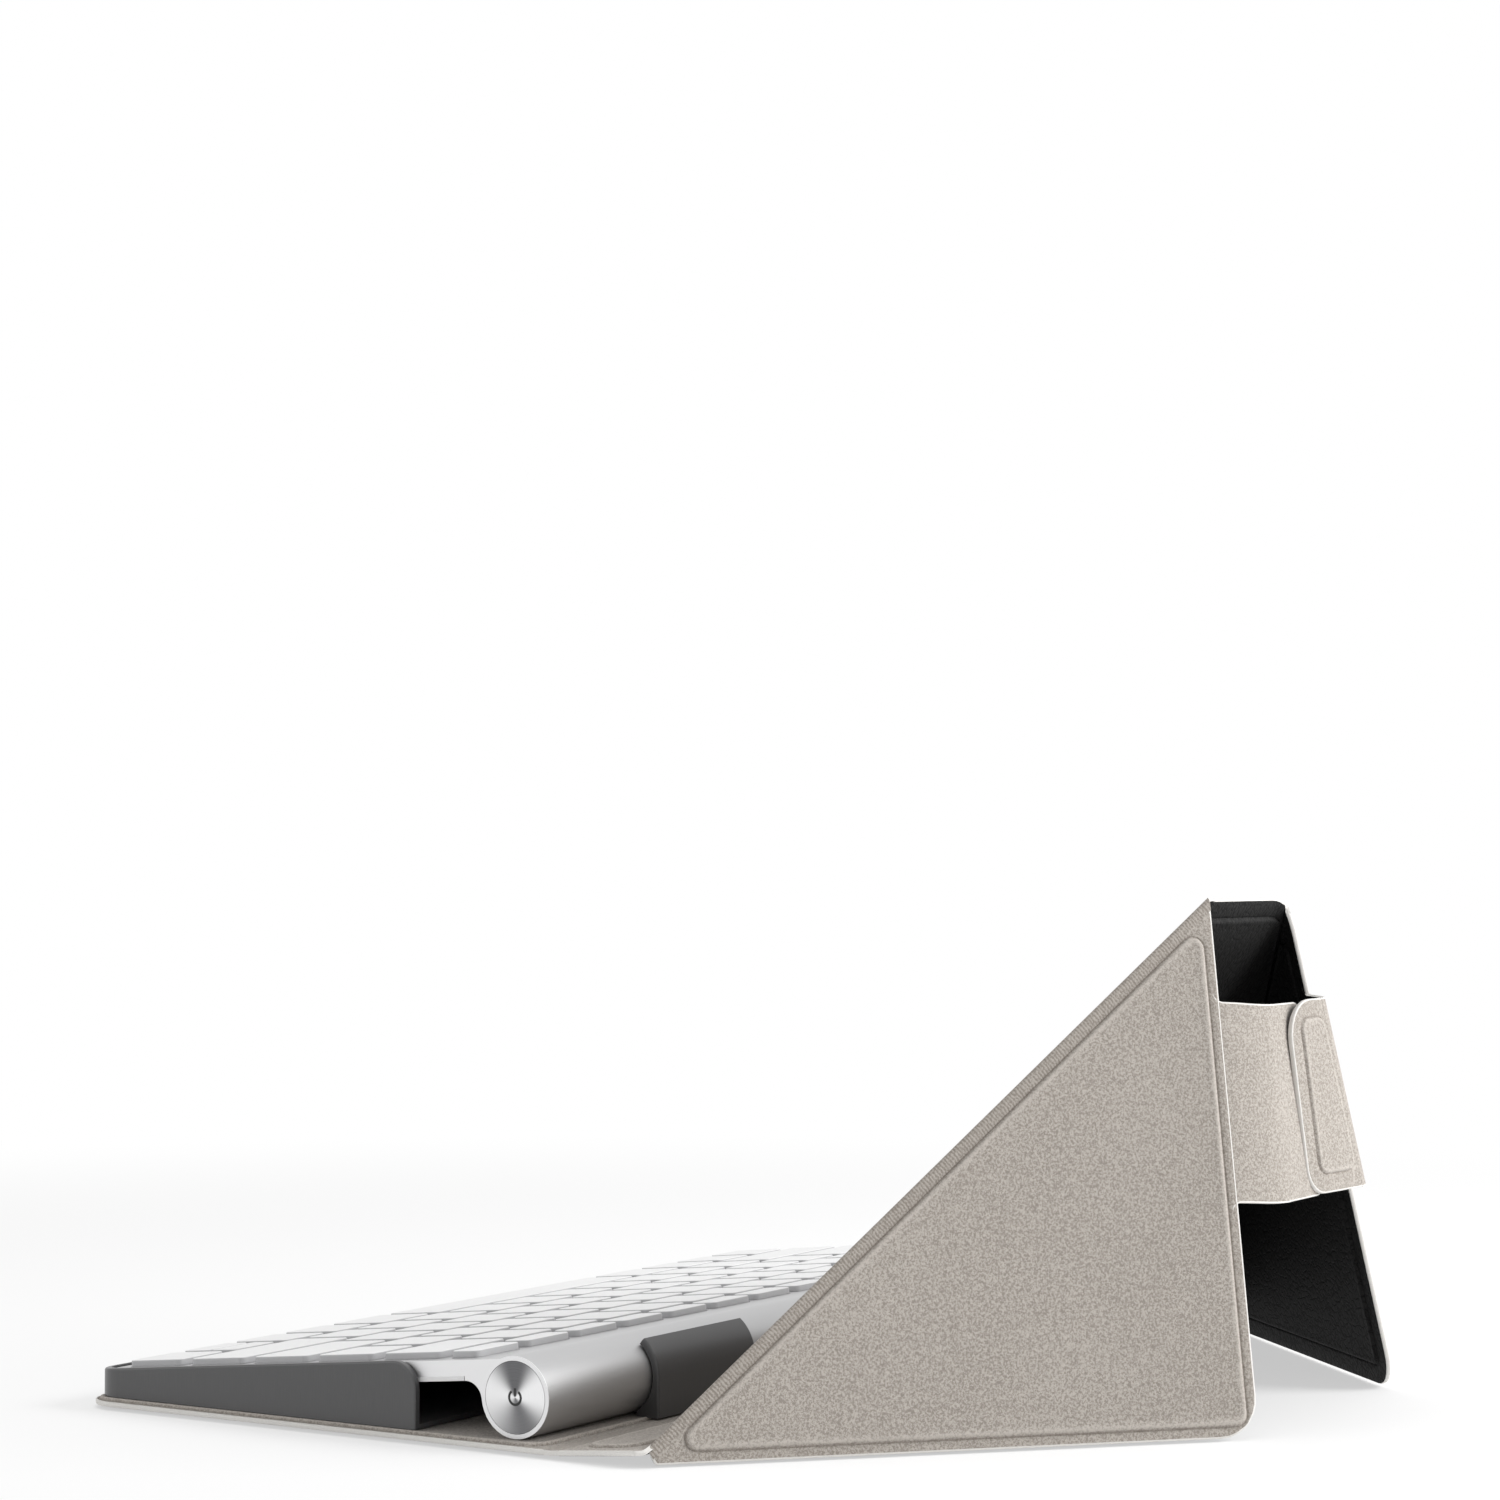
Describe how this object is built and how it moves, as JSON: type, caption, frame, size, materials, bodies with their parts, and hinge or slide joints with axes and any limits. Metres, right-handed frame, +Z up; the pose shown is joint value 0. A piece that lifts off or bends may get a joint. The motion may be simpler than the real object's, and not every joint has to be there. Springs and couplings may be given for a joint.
{
  "type": "tablet keyboard case",
  "caption": "Folding leather-look case with a felt lining that holds a slim keyboard in a tray and folds into a tablet stand on triangular wings joined by lapped magnet tabs.",
  "frame": {"origin": "middle of the base panel's underside, on the table", "axes": "+X to the user's right along the folds, +Y away from the user, +Z up"},
  "size_m": [0.29, 0.2562, 0.1197],
  "materials": {
    "leather_skin": "pebbled black leather-look skin, satin",
    "felt_lining": "warm grey microfibre felt, matt",
    "fold_leather": "skin and lining pressed together at a fold",
    "stiff_board": "pressed grey board",
    "magnet_steel": "thin magnet plate",
    "tray_plastic": "dark grey moulded plastic, fine texture",
    "adhesive": "thin adhesive sheet",
    "deck_metal": "bead-blasted silver",
    "cap_metal": "radially brushed silver",
    "bottom_plastic": "white moulded plastic",
    "key_plastic": "white satin key caps",
    "membrane_rubber": "translucent dome sheet",
    "plate_steel": "thin pressed plate",
    "cell_casing": "wrapped cell",
    "contact_brass": "bright contact disc",
    "circuit": "green circuit board",
    "light_lens": "small lens, unlit"
  },
  "bodies": {
    "base": {"base_skin": "leather_skin", "base_board": "stiff_board", "base_lining": "felt_lining", "base_hold_plates": "magnet_steel", "spine_fold_strip": "fold_leather", "tray_shell": "tray_plastic", "tray_adhesive": "adhesive", "tube_clips": "tray_plastic"},
    "spine": {"spine_skin": "leather_skin", "spine_board": "stiff_board", "spine_lining": "felt_lining", "stand_fold_strip": "fold_leather"},
    "stand": {"stand_skin": "leather_skin", "stand_board": "stiff_board", "stand_lining": "felt_lining", "right_wing_fold_strip": "fold_leather", "left_wing_fold_strip": "fold_leather"},
    "right_wing": {"right_wing_skin": "leather_skin", "right_wing_board": "stiff_board", "right_wing_lining": "felt_lining", "right_tab_fold_strip": "fold_leather"},
    "left_wing": {"left_wing_skin": "leather_skin", "left_wing_board": "stiff_board", "left_wing_lining": "felt_lining", "left_tab_fold_strip": "fold_leather"},
    "right_neck": {"right_neck_skin": "leather_skin", "right_neck_lining": "felt_lining", "right_flap_fold_strip": "fold_leather"},
    "left_neck": {"left_neck_skin": "leather_skin", "left_neck_lining": "felt_lining", "left_flap_fold_strip": "fold_leather"},
    "right_flap": {"right_flap_skin": "leather_skin", "right_flap_magnet": "magnet_steel", "right_flap_lining": "felt_lining"},
    "left_flap": {"left_flap_skin": "leather_skin", "left_flap_magnet": "magnet_steel", "left_flap_lining": "felt_lining"},
    "keyboard": {"keyboard_deck": "deck_metal", "keyboard_bottom": "bottom_plastic", "key_membrane": "membrane_rubber", "key_support_plate": "plate_steel", "battery_cells": "cell_casing", "battery_contacts": "contact_brass", "keyboard_circuit": "circuit", "status_light": "light_lens"},
    "power_button": {"power_button": "cap_metal"},
    "battery_cap": {"battery_cap": "cap_metal"},
    "space_bar": {"space_bar": "key_plastic"},
    "bottom_row_keys": {"bottom_row_keys": "key_plastic"},
    "lower_letter_keys": {"lower_letter_keys": "key_plastic"},
    "home_row_keys": {"home_row_keys": "key_plastic"},
    "upper_letter_keys": {"upper_letter_keys": "key_plastic"},
    "number_keys": {"number_keys": "key_plastic"},
    "function_keys": {"function_keys": "key_plastic"}
  },
  "joints": [
    {"name": "spine_fold", "type": "hinge", "parent": "base", "child": "spine", "pos_m": [0, 0.06773, 0.0012], "axis": [1, 0, 0], "range_deg": [-5, 85]},
    {"name": "stand_fold", "type": "hinge", "parent": "spine", "child": "stand", "pos_m": [0, 0.09073, 0.00321], "axis": [1, 0, 0], "range_deg": [-51.62, 43.95]},
    {"name": "right_wing_fold", "type": "hinge", "parent": "stand", "child": "right_wing", "pos_m": [0.142, 0.09073, 0.00321], "axis": [0.65, -0.418, -0.6346], "range_deg": [0, 118]},
    {"name": "left_wing_fold", "type": "hinge", "parent": "stand", "child": "left_wing", "pos_m": [-0.142, 0.09073, 0.00321], "axis": [0.65, 0.418, 0.6346], "range_deg": [-0.01, 118.01]},
    {"name": "right_neck_fold", "type": "hinge", "parent": "right_wing", "child": "right_neck", "pos_m": [0.01843, 0.16459, 0.14181], "axis": [0.1515, 0.161, -0.9753], "range_deg": [-0.01, 105.43]},
    {"name": "right_flap_fold", "type": "hinge", "parent": "right_neck", "child": "right_flap", "pos_m": [0.00747, 0.16922, 0.14088], "axis": [0.1515, 0.161, -0.9753], "range_deg": [-0.01, 113.19]},
    {"name": "left_neck_fold", "type": "hinge", "parent": "left_wing", "child": "left_neck", "pos_m": [-0.01843, 0.16459, 0.14181], "axis": [0.1515, -0.161, 0.9753], "range_deg": [-0.01, 87.43]},
    {"name": "left_flap_fold", "type": "hinge", "parent": "left_neck", "child": "left_flap", "pos_m": [-0.00936, 0.17234, 0.14169], "axis": [0.1515, -0.161, 0.9753], "range_deg": [-0.01, 131.19]},
    {"name": "keyboard_lift", "type": "hinge", "parent": "base", "child": "keyboard", "pos_m": [0, 0.05503, 0.0114], "axis": [1, 0, 0], "range_deg": [-12, 0]},
    {"name": "power_button_press", "type": "slide", "parent": "keyboard", "child": "power_button", "axis": [-1, 0, 0], "range_m": [0, 0.001], "stiffness_N_per_m": 1500, "springref_m": -0.0003},
    {"name": "battery_cap_turn", "type": "hinge", "parent": "keyboard", "child": "battery_cap", "pos_m": [-0.1405, 0.05503, 0.0114], "axis": [1, 0, 0], "continuous": true},
    {"name": "space_bar_press", "type": "slide", "parent": "keyboard", "child": "space_bar", "axis": [0, 0.0972, -0.9953], "range_m": [0, 0.0013], "stiffness_N_per_m": 1500, "springref_m": -0.0003},
    {"name": "bottom_row_keys_press", "type": "slide", "parent": "keyboard", "child": "bottom_row_keys", "axis": [0, 0.0972, -0.9953], "range_m": [0, 0.0013], "stiffness_N_per_m": 1500, "springref_m": -0.0003},
    {"name": "lower_letter_keys_press", "type": "slide", "parent": "keyboard", "child": "lower_letter_keys", "axis": [0, 0.0972, -0.9953], "range_m": [0, 0.0013], "stiffness_N_per_m": 1500, "springref_m": -0.0003},
    {"name": "home_row_keys_press", "type": "slide", "parent": "keyboard", "child": "home_row_keys", "axis": [0, 0.0972, -0.9953], "range_m": [0, 0.0013], "stiffness_N_per_m": 1500, "springref_m": -0.0003},
    {"name": "upper_letter_keys_press", "type": "slide", "parent": "keyboard", "child": "upper_letter_keys", "axis": [0, 0.0972, -0.9953], "range_m": [0, 0.0013], "stiffness_N_per_m": 1500, "springref_m": -0.0003},
    {"name": "number_keys_press", "type": "slide", "parent": "keyboard", "child": "number_keys", "axis": [0, 0.0972, -0.9953], "range_m": [0, 0.0013], "stiffness_N_per_m": 1500, "springref_m": -0.0003},
    {"name": "function_keys_press", "type": "slide", "parent": "keyboard", "child": "function_keys", "axis": [0, 0.0972, -0.9953], "range_m": [0, 0.0013], "stiffness_N_per_m": 1500, "springref_m": -0.0003}
  ],
  "couplings": [
    {"joint": "left_wing_fold", "follows": "right_wing_fold", "ratio": 1},
    {"joint": "right_neck_fold", "follows": "right_wing_fold", "ratio": 0.89343},
    {"joint": "right_flap_fold", "follows": "right_wing_fold", "ratio": 0.95916},
    {"joint": "left_neck_fold", "follows": "right_wing_fold", "ratio": 0.74088},
    {"joint": "left_flap_fold", "follows": "right_wing_fold", "ratio": 1.1117}
  ]
}
